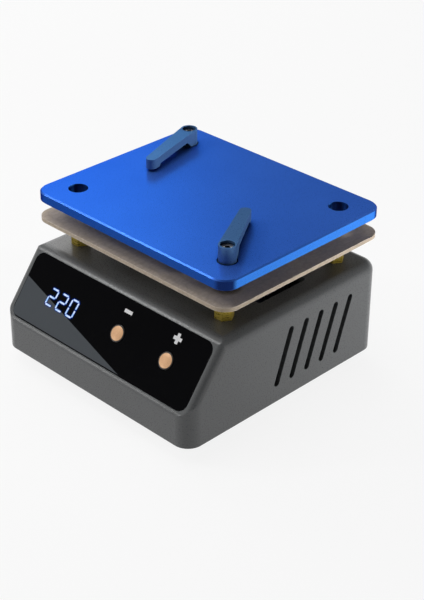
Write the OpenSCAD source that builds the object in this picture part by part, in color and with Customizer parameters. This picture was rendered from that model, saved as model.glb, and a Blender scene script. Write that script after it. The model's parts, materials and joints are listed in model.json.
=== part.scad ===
// Small bench preheater for circuit boards. Millimetres, +Z up, front facing -Y.
// The origin is on the table, under the middle of the housing.

/* [Housing] */
// Width of the housing and of both plates
housing_w = 80; // [74:1:92]
// Depth of the housing from front lip to back wall
housing_d = 80; // [76:1:92]
// Height of the housing without its feet
housing_h = 29.6; // [28:0.1:36]
// Depth taken up by the sloped front
slope_run = 14.4; // [13:0.1:16]
// Angle of the sloped front above the horizontal
slope_angle = 53.2; // [48:0.1:56]
// Wall of the moulding
wall = 2.2; // [1.8:0.1:2.6]
// Radius of the four upright corners
corner_r = 5; // [4:0.1:7]
// Radius of the edge that runs round the top
edge_r = 3.2; // [1:0.1:3.6]
// Radius along the side edges of the slope
slope_edge_r = 2; // [1:0.1:2.4]
// Radius where the slope bends into the top
bend_r = 3.8; // [2:0.1:3.8]
// Radius where the slope bends into the front lip
lip_r = 2.4; // [1:0.1:2.4]
// Thickness of the bottom cover
cover_t = 2; // [1.6:0.1:3]
// Height of the rubber feet
foot_h = 5; // [3:0.1:6]
// Diameter of the rubber feet where they meet the cover
foot_d = 11; // [8:0.5:13]
// Distance of each foot's centre from the middle, along both axes
foot_off = 27; // [24:0.5:28]

/* [Vents] */
// Number of slanted slots in each side
slot_count = 5; // [3:1:5]
// Spacing of the slots
slot_pitch = 6.4; // [4:0.1:7]
// Width of one slot
slot_w = 2.1; // [1:0.1:2.4]
// Height of the slots, from end to end
slot_rise = 17.8; // [10:0.1:19]
// Lean of the slots towards the back
slot_lean = 19; // [0:1:25]
// Distance of the slots' middle behind the housing's middle
slot_y = 11.2; // [6:0.1:13]
// Height of the slots' middle above the underside
slot_z = 14.2; // [12:0.1:15]
// Length of the two openings in the top
opening_len = 20; // [18:0.5:24]

/* [Panel] */
// Thickness of the gloss panel
panel_t = 1; // [0.6:0.1:1.2]
// Corner radius of the panel
panel_r = 3; // [1:0.1:4]
// Rim left at each side of the panel
panel_side = 2.6; // [2.5:0.1:4]
// Rim left above the panel, along the slope
panel_over = 1.9; // [1.7:0.1:2.4]
// Rim left below the panel, along the slope
panel_under = 1.2; // [1.1:0.1:1.8]
// Diameter of a button cap
button_d = 5.1; // [4:0.1:6]
// Height of a cap above the panel
button_rise = 0.5; // [0.5:0.1:1]
// How far a button goes in
button_travel = 0.4; // [0.2:0.05:0.4]
// From the panel's right end to the plus button
button_in = 13.1; // [11:0.1:14]
// Distance between the two buttons
button_pitch = 20; // [16:0.1:20.5]
// From the panel's left end to the display's middle
display_in = 18.2; // [17.4:0.1:19.4]
// Thickness of the display module
display_t = 6; // [4.5:0.1:6.5]

/* [Plates] */
// Thickness of the blue work plate
plate_t = 3.3; // [3:0.1:5]
// Corner radius of both plates
plate_r = 5; // [3:0.1:8]
// Bevel round the work plate
plate_bevel = 0.4; // [0.2:0.1:0.8]
// How far both plates reach forward past the slope's upper edge
plate_front = 0.4; // [0:0.1:1.5]
// Thickness of the insulating plate
insulation_t = 1.2; // [1:0.1:2]
// Gap between the two plates
plate_gap = 5.2; // [4.8:0.1:8]
// Height of the brass standoffs
standoff_h = 8.3; // [6:0.1:12]
// Standoff size across its flats
standoff_af = 5; // [4.5:0.1:5.5]
// Standoff centres, in from the plates' side edges
standoff_x = 9.6; // [8.5:0.1:10]
// Standoff centres, in from the plates' front and back edges
standoff_y = 9.6; // [8.5:0.1:10]
// Corner holes of the work plate
hole_d = 6; // [5.6:0.1:6.6]
// Hole centres, in from the side edges
hole_x = 9; // [8:0.1:10]
// Hole centres, in from the front and back edges
hole_y = 9.9; // [9:0.1:11]
// Length of the heater block
heater_len = 54; // [48:1:56]
// Depth of the heater block
heater_d = 21; // [16:0.5:22]

/* [Clamps] */
// Height of a clamp hub above the work plate
hub_h = 5; // [4.6:0.1:7]
// Diameter of a clamp hub
hub_d = 5.2; // [5:0.1:5.4]
// Length of an arm from its pivot to its tip
arm_len = 24.4; // [18:0.1:26]
// Width of an arm at its tip
tip_w = 3.4; // [2.6:0.1:4.6]
// Depth of an arm beside its hub
arm_t = 2.4; // [1.6:0.1:2.8]
// How far an arm's top falls from hub to tip
tip_fall = 1; // [0:0.1:1.4]
// Space under an arm's foot, for a board
foot_gap = 0.9; // [0.4:0.1:1.4]
// Length of the foot at an arm's tip
tip_foot = 4.2; // [3:0.1:6]
// Direction of the front arm, turned from +X
front_turn = 121.4; // [90:0.1:180]
// Direction of the rear arm, turned from +X
rear_turn = -74.4; // [-90:0.1:0]
// Diameter of a clamp pin's shoulder
pin_d = 2.6; // [2.4:0.1:2.8]
// Recess for the pin's head in the hub
sink_d = 4.3; // [3.8:0.1:4.4]
// Depth of that recess
sink_deep = 2.2; // [1.8:0.1:2.6]
// Wire of a clamp spring
wire_d = 0.5; // [0.4:0.05:0.6]

/* [Boards] */
// Thickness of both circuit boards
pcb_t = 1.6; // [1.2:0.1:2]
// Height of the main board above the bottom cover
post_h = 4; // [3:0.1:6]
// Space between the two boards for their ribbon
ribbon_room = 9.2; // [8.6:0.1:12]
// Centre of the DC inlet, in from the main board's right edge
jack_in = 12.9; // [12.5:0.1:16]
// Thickness of a heater lead
lead_d = 1.6; // [1.2:0.1:2]

/* [Hidden] */
$fn = 48;

// Fits
run_fit = 0.05;
slip_fit = 0.1;
over = 1;
fine_r = 0.4;
screw_end = 0.4;

// Levels
z_base = foot_h;
z_cover = z_base + cover_t;
z_main = z_cover + post_h;
z_parts = z_main + pcb_t;
z_top = z_base + housing_h;
z_insulation = z_top + standoff_h;
z_gap = z_insulation + insulation_t;
z_plate = z_gap + plate_gap;
z_work = z_plate + plate_t;

// Sloped front: a frame in the middle of the panel, Y up the slope and Z out of it
lip_h = housing_h - slope_run * tan(slope_angle);
slope_len = slope_run / cos(slope_angle);
slope_edge_y = -housing_d / 2 + slope_run;
panel_w = housing_w - 2 * panel_side;
minus_u = panel_w / 2 - button_in - button_pitch;
display_u = panel_w / 2 - display_in;
panel_h = slope_len - panel_over - panel_under;
panel_mid = panel_over + panel_h / 2;
slope_y = slope_edge_y - panel_mid * cos(slope_angle);
slope_z = z_top - panel_mid * sin(slope_angle);

// Plates
plate_w = housing_w;
plate_d = housing_d - slope_run + plate_front;
plate_y = (housing_d - plate_d) / 2;
hole_cx = plate_w / 2 - hole_x;
hole_cy = plate_d / 2 - hole_y;
standoff_cx = plate_w / 2 - standoff_x;
standoff_cy = plate_d / 2 - standoff_y;
stud_d = 4;
stud_bore_d = 3;
stud_roof = 1.5;
stud_screw_in = 4;
m3_head_d = 5.4;
m3_head_h = 1.9;
heater_groove = 1.2;
spacer_d = 6;
spacer_cx = 24;
spacer_gap = 3.5;
spacer_cy = heater_d / 2 + spacer_d / 2 + spacer_gap;
plate_screw_d = 2.9;
plate_screw_deep = 2.2;
plate_screw_len = insulation_t + plate_gap + plate_screw_deep - screw_end;

// Bottom cover and its screws
boss_d = 6.6;
boss_bite = 0.3;
boss_in = wall + boss_d / 2 - boss_bite;
boss_h = 14;
boss_cx = housing_w / 2 - boss_in;
boss_cy = housing_d / 2 - boss_in;
base_screw_d = 2.3;
base_head_d = 4.6;
base_screw_len = 9;
base_cone_h = 1.2;
base_sunk = 0.2;
foot_taper = 0.8;
foot_seat = 0.4;

// Control board behind the slope
board_drop = panel_t + display_t + slip_fit;
board_gap = 0.6;
board_r = 1;
board_w = 2 * (boss_cx - boss_d / 2 - board_gap);
board_short = 2;
board_h = panel_h - board_short;
pillar_d = 4.4;
pillar_screw_d = 1.9;
pillar_screw_in = 3.2;
pillar_head_d = 3.6;
pillar_head_h = 1.3;
pillar_out = 0.4;
pillar_up = 0.2;
pillar_u = board_w / 2 - pillar_d / 2 + pillar_out;
pillar_v = board_h / 2 - pillar_d / 2 + pillar_up;
display_w = 23;
display_h = 9.6;
window_gap = 0.6;
dome_r = 12;
flange_brim = 2.3;
flange_d = button_d + flange_brim;
flange_t = 0.8;
flange_gap = 0.15;
cap_tail = 0.65;
cap_foot = panel_t + flange_gap + flange_t + cap_tail;
switch_w = 6;
switch_gap = 1;
switch_h = board_drop - cap_foot - switch_gap;
plunger_d = 3.4;
plunger_in = 1;
plunger_gap = 0.3;

// Ribbon between the two boards, in the YZ plane
ribbon_w = 10;
ribbon_t = 0.8;
ribbon_ears = 3;
ribbon_socket_w = ribbon_w + ribbon_ears;
ribbon_socket_d = 4;
ribbon_socket_h = 5;
ribbon_loop = 4;
ribbon_out = [sin(slope_angle), -cos(slope_angle)];
ribbon_board = [slope_y, slope_z] + (board_drop + pcb_t + ribbon_socket_h) * ribbon_out;

// Main board
main_w = board_w;
main_back = housing_d / 2 - wall - board_gap;
main_d = main_back - ribbon_board[0] - ribbon_room;
main_y = main_back - main_d / 2;
main_screw_d = 2;
main_head_d = 4.2;
main_head_h = 1.5;
main_hole_in = 3.5;
post_d = 5;
main_hole_cx = main_w / 2 - main_hole_in;
main_hole_cy = main_d / 2 - main_hole_in;
ribbon_in = main_d - ribbon_socket_d / 2 - board_r;
ribbon_main = [main_back - ribbon_in, z_parts + ribbon_socket_h];
ribbon_path = [ribbon_board, ribbon_board + ribbon_loop / 2 * ribbon_out,
    ribbon_main + ribbon_loop * [-1, 1], ribbon_main + [0, ribbon_loop], ribbon_main];
jack_w = 9;
jack_h = 10.6;
jack_len = 13;
jack_axis = 5.6;
jack_nose_d = 8;
jack_bore_d = 6.4;
jack_bore = 9;
jack_pin_d = 2;
jack_sunk = 0.2;
jack_x = main_w / 2 - jack_in;
capacitor_d = 8;
capacitor_h = 12;
capacitor_bead = 0.3;
capacitor_gap = 1.5;
capacitor_x = jack_x - jack_w / 2 - capacitor_d / 2 - 2 * capacitor_gap;
capacitor_in = capacitor_d / 2 + 2 * capacitor_gap;
capacitor_pitch = capacitor_d + capacitor_gap;
inductor_w = 10;
inductor_h = 5;
inductor_r = 1.5;
inductor_in = capacitor_in + capacitor_pitch + capacitor_d / 2 + capacitor_gap + inductor_w / 2;
chip_w = 7;
chip_t = 1;
fin_count = 5;
fin_t = 1;
fin_deep = 6;
sink_w = 16;
sink_h = 14;
sink_t = 2;
transistor_w = 10;
transistor_h = 9.2;
transistor_t = 4.4;
transistor_pin = 0.8;
transistor_pitch = 2.54;
transistor_x = -main_hole_cx + main_head_d / 2 + board_gap / 2 + sink_w / 2;

// Leads that come down from between the plates
lead_run = 0.6;
lead_bend = 2.2;
lead_cx = heater_len / 2 + lead_run + lead_bend;
lead_in = 1.1;
lead_pitch = 5;
lead_slot_w = 3;
lead_slot_d = 9;
sensor_lead_d = 1;
sensor_pitch = 1.8;
sensor_y = 2;
sensor_t = 2;
sensor_w = 5;
sensor_d = 6;
opening_w = 7.5;
opening_rim = 2.6;
opening_x = lead_cx + opening_rim - opening_w / 2;
opening_fore = 1.3;
opening_y = plate_y - opening_fore;
terminal_w = 8;
terminal_d = 10.6;
terminal_h = 9;
terminal_well = 2;
terminal_screw_d = 3.6;
terminal_x = -lead_cx + lead_bend + lead_in + terminal_w / 2;
terminal_z = 4;
terminal_in = 3.5;
socket_w = 5;
socket_d = 6;
socket_h = 6;
socket_x = lead_cx - lead_bend - lead_in - socket_w / 2;
socket_z = 3;
socket_in = 2;

// Clamps, measured from the work plate's top
ring_deep = 0.5;
arm_clear = 0.3;
flank_in = 0.1;
arm_gusset = 2.4;
foot_draft = 0.8;
hole_lip_t = 0.4;
hole_lip_d = hole_d - 1;
spigot_end = hole_lip_t + run_fit;
head_h = 1.2;
key_af = 1.5;
key_deep = 0.7;
thread_d = 2;
washer_t = 0.5;
nut_h = 1.2;
nut_af = 4;
pin_tail = 0.2;
pin_floor = 0.4;
spring_len = plate_gap - washer_t - nut_h - pin_tail - pin_floor;
spring_turns = 2.25;
spring_r = hole_d / 2 + 0.6 + wire_d / 2;
washer_d = 2 * spring_r + wire_d + 0.6;

// Plain shapes

module rounded_rect(w, d, r) {
    square([w, d - 2 * r], center = true);
    square([w - 2 * r, d], center = true);
    for (x = [-1, 1], y = [-1, 1])
        translate([x * (w / 2 - r), y * (d / 2 - r)]) circle(r);
}

module rounded_block(w, d, h, r) {
    linear_extrude(h) rounded_rect(w, d, r);
}

// Corner of a convex outline: the two tangent points and the centre of its arc
function unit(v) = v / norm(v);
function corner_half(a, p, b) = acos(unit(a - p) * unit(b - p)) / 2;
function corner_in(a, p, b, r) = p + unit(a - p) * r / tan(corner_half(a, p, b));
function corner_out(a, p, b, r) = p + unit(b - p) * r / tan(corner_half(a, p, b));
function corner_mid(a, p, b, r) = p + unit(unit(a - p) + unit(b - p)) * r / sin(corner_half(a, p, b));

module rounded_outline(pts, radii) {
    n = len(pts);
    polygon([for (i = [0:n - 1]) let (a = pts[(i + n - 1) % n], p = pts[i], b = pts[(i + 1) % n])
        each radii[i] > 0 ? [corner_in(a, p, b, radii[i]), corner_out(a, p, b, radii[i])] : [p]]);
    for (i = [0:n - 1])
        if (radii[i] > 0)
            translate(corner_mid(pts[(i + n - 1) % n], pts[i], pts[(i + 1) % n], radii[i])) circle(radii[i]);
}

module at_four(x, y) {
    for (i = [-1, 1], j = [-1, 1]) translate([i * x, j * y, 0]) children();
}

module on_plates() {
    translate([0, plate_y, 0]) children();
}

module on_slope(u = 0, v = 0, n = 0) {
    translate([0, slope_y, slope_z]) rotate([slope_angle, 0, 0]) translate([u, v, n]) children();
}

// Pan-head screw along +Z, its seat at z = 0 and its head below
module pan_screw(d, len, head_d, head_h) {
    cylinder(d = d, h = len);
    translate([0, 0, -head_h]) difference() {
        cylinder(d = head_d, h = head_h);
        cross_recess(head_d * 0.55, head_h * 0.5);
    }
}

module cross_recess(size, deep) {
    for (turn = [0, 90]) rotate(turn)
        translate([-size / 2, -size / 8, -over]) cube([size, size / 4, deep + over]);
}

// Housing

// Side outline of the housing, moved inwards by a wall thickness
function side_outline(in) = let (c = tan(slope_angle), s = in / cos(slope_angle)) [
    [housing_d / 2 - in, z_base - (in > 0 ? over : 0)],
    [housing_d / 2 - in, z_top - in],
    [slope_edge_y - (in - s) / c, z_top - in],
    [-housing_d / 2 + in, z_base + lip_h - s + in * c],
    [-housing_d / 2 + in, z_base - (in > 0 ? over : 0)]];

module side_profile(in, back, bend, lip) {
    rotate([90, 0, 90]) linear_extrude(housing_w + 2 * over, center = true)
        rounded_outline(side_outline(in), [0, back, bend, lip, 0]);
}

// Bar with its two upper edges rounded, top face at z = 0, running along Y
module edged_bar(w, len, deep, r) {
    rotate([90, 0, 0]) linear_extrude(len, center = true)
        rounded_outline([[-w / 2, -deep], [w / 2, -deep], [w / 2, 0], [-w / 2, 0]], [0, 0, r, r]);
}

// Outer end of that section, from a corner's axis out to the wall
module edge_section(deep) {
    intersection() {
        rounded_outline([[0, -deep], [corner_r, -deep], [corner_r, 0], [0, 0]], [0, 0, edge_r, 0]);
        translate([0, -deep]) square([corner_r, deep]);
    }
}

// Block whose upper edge is rounded all the way round: a bar, a strip at each end and four turned corners
module soft_block(deep) {
    long_w = housing_w - 2 * corner_r;
    long_d = housing_d - 2 * corner_r;
    edged_bar(housing_w, long_d, deep, edge_r);
    for (turn = [0, 180]) rotate(turn) {
        translate([0, long_d / 2, 0]) rotate([90, 0, 90]) linear_extrude(long_w, center = true)
            edge_section(deep);
        translate([long_w / 2, long_d / 2, 0]) rotate_extrude(angle = 90) edge_section(deep);
        translate([-long_w / 2, long_d / 2, 0]) rotate(90) rotate_extrude(angle = 90) edge_section(deep);
    }
}

module housing_form() {
    intersection() {
        side_profile(0, 0, bend_r, lip_r);
        translate([0, 0, z_top]) soft_block(2 * housing_h);
        on_slope() edged_bar(housing_w, 4 * housing_d, 4 * housing_h, slope_edge_r);
    }
}

module housing_hollow() {
    intersection() {
        side_profile(wall, fine_r, board_r, board_r);
        rounded_block(housing_w - 2 * wall, housing_d - 2 * wall, z_top + over, corner_r - wall);
    }
}

module vent_slot() {
    straight = slot_rise / cos(slot_lean) - slot_w;
    deep = wall + 2 * over;
    rotate([-slot_lean, 0, 0]) {
        cube([deep, slot_w, straight], center = true);
        for (end = [-1, 1]) translate([0, 0, end * straight / 2]) rotate([0, 90, 0])
            cylinder(d = slot_w, h = deep, center = true);
    }
}

module vent_slots() {
    first = slot_y - (slot_count - 1) / 2 * slot_pitch;
    for (side = [-1, 1], i = [0:slot_count - 1])
        translate([side * (housing_w - wall) / 2, first + i * slot_pitch, z_base + slot_z]) vent_slot();
}

module top_openings() {
    for (side = [-1, 1]) translate([side * opening_x, opening_y, z_top - wall - over])
        rounded_block(opening_w, opening_len, wall + 2 * over, 1);
}

module panel_seat() {
    on_slope(0, 0, -panel_t)
        rounded_block(panel_w + 2 * slip_fit, panel_h + 2 * slip_fit, panel_t + over, panel_r);
    on_slope(-display_u, 0, -wall - over)
        rounded_block(display_w + window_gap, display_h + window_gap, wall + 2 * over, fine_r);
    for (u = [minus_u, minus_u + button_pitch])
        on_slope(u, 0, -wall - over) cylinder(d = flange_d + 1, h = wall + 2 * over);
}

module board_pillars() {
    at_pillars(-board_drop) difference() {
        cylinder(d = pillar_d, h = board_drop - panel_t - 3 * slip_fit);
        translate([0, 0, -over])
            cylinder(d = pillar_screw_d + 2 * run_fit, h = pillar_screw_in + screw_end + over);
    }
}

module at_pillars(n) {
    for (i = [-1, 1], j = [-1, 1]) on_slope(i * pillar_u, j * pillar_v, n) children();
}

module cover_bosses() {
    intersection() {
        housing_form();
        translate([0, 0, z_cover]) at_four(boss_cx, boss_cy) difference() {
            cylinder(d = boss_d, h = boss_h);
            translate([0, 0, -over]) cylinder(d = base_screw_d + 2 * run_fit, h = base_screw_len);
        }
    }
}

module housing_shell() {
    color([0.31, 0.32, 0.32]) difference() {
        union() {
            difference() {
                housing_form();
                housing_hollow();
            }
            board_pillars();
            cover_bosses();
        }
        panel_seat();
        vent_slots();
        top_openings();
        on_plates() at_four(standoff_cx, standoff_cy) translate([0, 0, z_top - wall - over])
            cylinder(d = stud_bore_d + 2 * slip_fit, h = wall + 2 * over);
        translate([jack_x, housing_d / 2, z_parts + jack_axis]) rotate([90, 0, 0])
            cylinder(d = jack_nose_d + 4 * slip_fit, h = 3 * wall, center = true);
    }
}

// Bottom

module bottom_cover() {
    color([0.2, 0.2, 0.21]) difference() {
        union() {
            translate([0, 0, z_base]) rounded_block(housing_w - 2 * wall - 2 * slip_fit,
                housing_d - 2 * wall - 2 * slip_fit, cover_t, corner_r - wall);
            translate([0, main_y, z_base]) at_four(main_hole_cx, main_hole_cy)
                cylinder(d = post_d, h = cover_t + post_h);
        }
        translate([0, 0, z_base]) at_four(boss_cx, boss_cy) countersink();
        translate([0, 0, z_base - over]) at_four(foot_off, foot_off)
            cylinder(d = foot_d + 2 * slip_fit, h = foot_seat + over);
        translate([0, main_y, z_cover]) at_four(main_hole_cx, main_hole_cy)
            cylinder(d = main_screw_d + 2 * run_fit, h = post_h + over);
    }
}

// Cone shared by the cover screws and their seats, and the straight hole above it
module screw_cone() {
    translate([0, 0, base_sunk]) cylinder(d1 = base_head_d, d2 = base_screw_d, h = base_cone_h);
}

module countersink() {
    translate([0, 0, -over]) cylinder(d = base_screw_d + 4 * slip_fit, h = cover_t + 2 * over);
    translate([0, 0, -over]) cylinder(d = base_head_d, h = over + base_sunk);
    screw_cone();
}

module rubber_feet() {
    color([0.1, 0.1, 0.1]) at_four(foot_off, foot_off) {
        cylinder(d1 = foot_d - 2 * foot_taper, d2 = foot_d, h = foot_h);
        translate([0, 0, foot_h]) cylinder(d = foot_d, h = foot_seat);
    }
}

module base_screws() {
    color("silver") translate([0, 0, z_base]) at_four(boss_cx, boss_cy) difference() {
        union() {
            screw_cone();
            translate([0, 0, base_sunk]) cylinder(d = base_screw_d, h = base_screw_len);
        }
        translate([0, 0, base_sunk]) cross_recess(base_head_d * 0.55, base_cone_h * 0.6);
    }
}

// Panel, display and buttons

module front_panel() {
    color([0.03, 0.03, 0.035]) difference() {
        on_slope(0, 0, -panel_t) rounded_block(panel_w, panel_h, panel_t, panel_r - slip_fit);
        for (u = [minus_u, minus_u + button_pitch])
            on_slope(u, 0, -panel_t - over) cylinder(d = button_d + 2 * slip_fit, h = panel_t + 2 * over);
    }
}

module display_module() {
    color([0.12, 0.12, 0.13]) on_slope(-display_u, 0, -board_drop)
        rounded_block(display_w, display_h, display_t, fine_r);
}

module control_board() {
    color([0.06, 0.3, 0.16]) difference() {
        on_slope(0, 0, -board_drop - pcb_t) rounded_block(board_w, board_h, pcb_t, board_r);
        at_pillars(-board_drop - pcb_t - over)
            cylinder(d = pillar_screw_d + 3 * slip_fit, h = pcb_t + 2 * over);
    }
}

module control_board_screws() {
    color("silver") at_pillars(-board_drop - pcb_t)
        pan_screw(pillar_screw_d, pcb_t + pillar_screw_in, pillar_head_d, pillar_head_h);
}

module tact_switches() {
    color([0.15, 0.15, 0.16]) for (u = [minus_u, minus_u + button_pitch])
        on_slope(u, 0, -board_drop) difference() {
            rounded_block(switch_w, switch_w, switch_h, fine_r);
            translate([0, 0, switch_h - plunger_in - button_travel - plunger_gap])
                cylinder(d = plunger_d + 2 * slip_fit, h = switch_h);
        }
}

// Round cap with a domed face and a flange that keeps it behind the panel
module button_cap(u) {
    color([0.86, 0.62, 0.44]) on_slope(u, 0, 0) {
        intersection() {
            translate([0, 0, -cap_foot]) cylinder(d = button_d, h = cap_foot + button_rise);
            translate([0, 0, button_rise - dome_r]) sphere(dome_r, $fn = 96);
        }
        translate([0, 0, -panel_t - flange_gap - flange_t]) cylinder(d = flange_d, h = flange_t);
    }
}

module switch_plunger(u) {
    color([0.1, 0.1, 0.1]) on_slope(u, 0, -board_drop + switch_h - plunger_in)
        cylinder(d = plunger_d, h = board_drop - cap_foot - switch_h + plunger_in);
}

module minus_button() { button_cap(minus_u); }
module plus_button() { button_cap(minus_u + button_pitch); }
module minus_plunger() { switch_plunger(minus_u); }
module plus_plunger() { switch_plunger(minus_u + button_pitch); }

// Main board

module on_main(x, y) {
    translate([x, main_back - y, z_parts]) children();
}

module main_board() {
    color([0.06, 0.3, 0.16]) translate([0, main_y, z_main]) difference() {
        rounded_block(main_w, main_d, pcb_t, board_r);
        translate([0, 0, -over]) at_four(main_hole_cx, main_hole_cy)
            cylinder(d = main_screw_d + 4 * slip_fit, h = pcb_t + 2 * over);
    }
}

module main_board_screws() {
    color("silver") translate([0, main_y, z_parts]) at_four(main_hole_cx, main_hole_cy)
        mirror([0, 0, 1]) pan_screw(main_screw_d, pcb_t + post_h - board_gap, main_head_d, main_head_h);
}

// Inlet with a round nose in the back wall and a centre pin in its bore
module dc_jack() {
    nose = housing_d / 2 - main_back - jack_sunk;
    color([0.08, 0.08, 0.08]) on_main(jack_x, 0) {
        difference() {
            union() {
                translate([-jack_w / 2, -jack_len, 0]) cube([jack_w, jack_len, jack_h]);
                translate([0, 0, jack_axis]) rotate([-90, 0, 0]) cylinder(d = jack_nose_d, h = nose);
            }
            translate([0, nose - jack_bore, jack_axis]) rotate([-90, 0, 0])
                cylinder(d = jack_bore_d, h = jack_bore + over);
        }
        translate([0, nose - jack_bore, jack_axis]) rotate([-90, 0, 0])
            cylinder(d = jack_pin_d, h = jack_bore - jack_pin_d / 2);
    }
}

// Cans with a bead near the foot and a sunk top
module filter_capacitors() {
    r = capacitor_d / 2;
    rim = 2 * capacitor_bead;
    color([0.1, 0.12, 0.2]) for (i = [0, 1])
        on_main(capacitor_x, capacitor_in + i * capacitor_pitch) rotate_extrude()
            polygon([[0, 0], [r, 0], [r, 2 * rim], [r - capacitor_bead, 2.5 * rim], [r, 3 * rim],
                [r, capacitor_h - capacitor_bead], [r - capacitor_bead, capacitor_h], [r - rim, capacitor_h],
                [r - rim, capacitor_h - capacitor_bead], [0, capacitor_h - capacitor_bead]]);
}

// Square moulding with a ring groove round its winding
module power_inductor() {
    groove = inductor_h / 12;
    color([0.25, 0.25, 0.26]) on_main(capacitor_x + capacitor_d / 4, inductor_in) difference() {
        rounded_block(inductor_w, inductor_w, inductor_h, inductor_r);
        translate([0, 0, inductor_h - groove]) linear_extrude(over) difference() {
            circle(d = inductor_w * 0.8);
            circle(d = inductor_w * 0.5);
        }
    }
}

module at_transistor() {
    on_main(transistor_x, main_d * 0.36) children();
}

module power_transistor() {
    leg_h = transistor_h / 3;
    color([0.09, 0.09, 0.1]) at_transistor() {
        translate([-transistor_w / 2, 0, leg_h]) cube([transistor_w, transistor_t, transistor_h]);
        for (i = [-1, 0, 1])
            translate([i * transistor_pitch - transistor_pin / 2, transistor_t / 2 - transistor_pin / 2, 0])
                cube([transistor_pin, transistor_pin, leg_h]);
    }
}

// Finned block that stands against the transistor's back
module heat_sink() {
    color([0.7, 0.71, 0.72]) at_transistor() translate([-sink_w / 2, transistor_t, 0]) {
        cube([sink_w, sink_t, sink_h]);
        for (i = [0:fin_count - 1])
            translate([i * (sink_w - fin_t) / (fin_count - 1), sink_t, 0]) cube([fin_t, fin_deep, sink_h]);
    }
}

module controller_chip() {
    color([0.08, 0.08, 0.09]) on_main(-main_w * 0.065, main_d * 0.64)
        rounded_block(chip_w, chip_w, chip_t, fine_r);
}

module heater_terminal() {
    color([0.15, 0.4, 0.25]) translate([terminal_x, plate_y, z_parts]) difference() {
        translate([-terminal_w / 2, -terminal_d / 2, 0]) cube([terminal_w, terminal_d, terminal_h]);
        for (side = [-1, 1]) {
            translate([-terminal_w / 2 - over, side * lead_pitch / 2, terminal_z]) rotate([0, 90, 0])
                cylinder(d = lead_d + 2 * slip_fit, h = terminal_in + over);
            translate([0, side * lead_pitch / 2, terminal_h - terminal_well])
                cylinder(d = terminal_screw_d, h = terminal_well + over);
        }
    }
}

module sensor_socket() {
    color([0.9, 0.88, 0.8]) translate([socket_x, plate_y + sensor_y, z_parts]) difference() {
        translate([-socket_w / 2, -socket_d / 2, 0]) cube([socket_w, socket_d, socket_h]);
        for (side = [-1, 1])
            translate([socket_w / 2 + over, side * sensor_pitch / 2, socket_z]) rotate([0, -90, 0])
                cylinder(d = sensor_lead_d + 2 * slip_fit, h = socket_in + over);
    }
}

// Ribbon between the two boards

module ribbon_sockets() {
    color([0.1, 0.1, 0.1]) {
        on_main(0, ribbon_in) rounded_block(ribbon_socket_w, ribbon_socket_d, ribbon_socket_h, fine_r);
        on_slope(0, 0, -board_drop - pcb_t - ribbon_socket_h)
            rounded_block(ribbon_socket_w, ribbon_socket_d, ribbon_socket_h, fine_r);
    }
}

module ribbon_cable() {
    color([0.6, 0.6, 0.62]) rotate([90, 0, 90]) linear_extrude(ribbon_w, center = true) {
        for (i = [0:len(ribbon_path) - 2]) {
            run = ribbon_path[i + 1] - ribbon_path[i];
            translate(ribbon_path[i]) rotate(atan2(run[1], run[0]))
                translate([0, -ribbon_t / 2]) square([norm(run), ribbon_t]);
        }
        for (i = [1:len(ribbon_path) - 2]) translate(ribbon_path[i]) circle(d = ribbon_t);
    }
}

// Plates and standoffs

// Hex post with a round stud that sits in the insulating plate
module standoff(i, j) {
    color([0.78, 0.62, 0.25]) on_plates()
        translate([i * standoff_cx, j * standoff_cy, z_top]) difference() {
        union() {
            cylinder(d = standoff_af / cos(30), h = standoff_h, $fn = 6);
            cylinder(d = stud_d, h = standoff_h + insulation_t);
        }
        translate([0, 0, -over]) cylinder(d = stud_bore_d, h = standoff_h - stud_roof + over);
    }
}

module front_left_standoff() { standoff(-1, -1); }
module front_right_standoff() { standoff(1, -1); }
module rear_left_standoff() { standoff(-1, 1); }
module rear_right_standoff() { standoff(1, 1); }

module standoff_screws() {
    color("silver") on_plates() translate([0, 0, z_top - wall]) at_four(standoff_cx, standoff_cy)
        pan_screw(stud_bore_d - 2 * run_fit, wall + stud_screw_in, m3_head_d, m3_head_h);
}

module insulation_plate() {
    color([0.8, 0.76, 0.69]) on_plates() translate([0, 0, z_insulation]) difference() {
        rounded_block(plate_w, plate_d, insulation_t, plate_r);
        translate([0, 0, -over]) linear_extrude(insulation_t + 2 * over) {
            at_four(standoff_cx, standoff_cy) circle(d = stud_d + 2 * run_fit);
            at_four(spacer_cx, spacer_cy) circle(d = plate_screw_d + 3 * slip_fit);
            for (side = [-1, 1]) translate([side * lead_cx, 0]) rounded_rect(lead_slot_w, lead_slot_d, 1);
        }
    }
}

module plate_spacers() {
    color([0.9, 0.9, 0.88]) on_plates() translate([0, 0, z_gap]) at_four(spacer_cx, spacer_cy)
        linear_extrude(plate_gap) difference() {
            circle(d = spacer_d);
            circle(d = plate_screw_d + 3 * slip_fit);
        }
}

module plate_screws() {
    color("silver") on_plates() translate([0, 0, z_insulation]) at_four(spacer_cx, spacer_cy)
        pan_screw(plate_screw_d, plate_screw_len, m3_head_d, m3_head_h);
}

// Flat heater in a ribbed metal sleeve, pressed between the two plates
module heater_block() {
    color([0.75, 0.76, 0.77]) on_plates() translate([0, 0, z_gap]) difference() {
        rounded_block(heater_len, heater_d, plate_gap, 1.5);
        for (side = [-1, 1]) translate([0, side * heater_d / 2, plate_gap / 2])
            cube([heater_len + over, heater_groove, heater_groove], center = true);
    }
}

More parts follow.
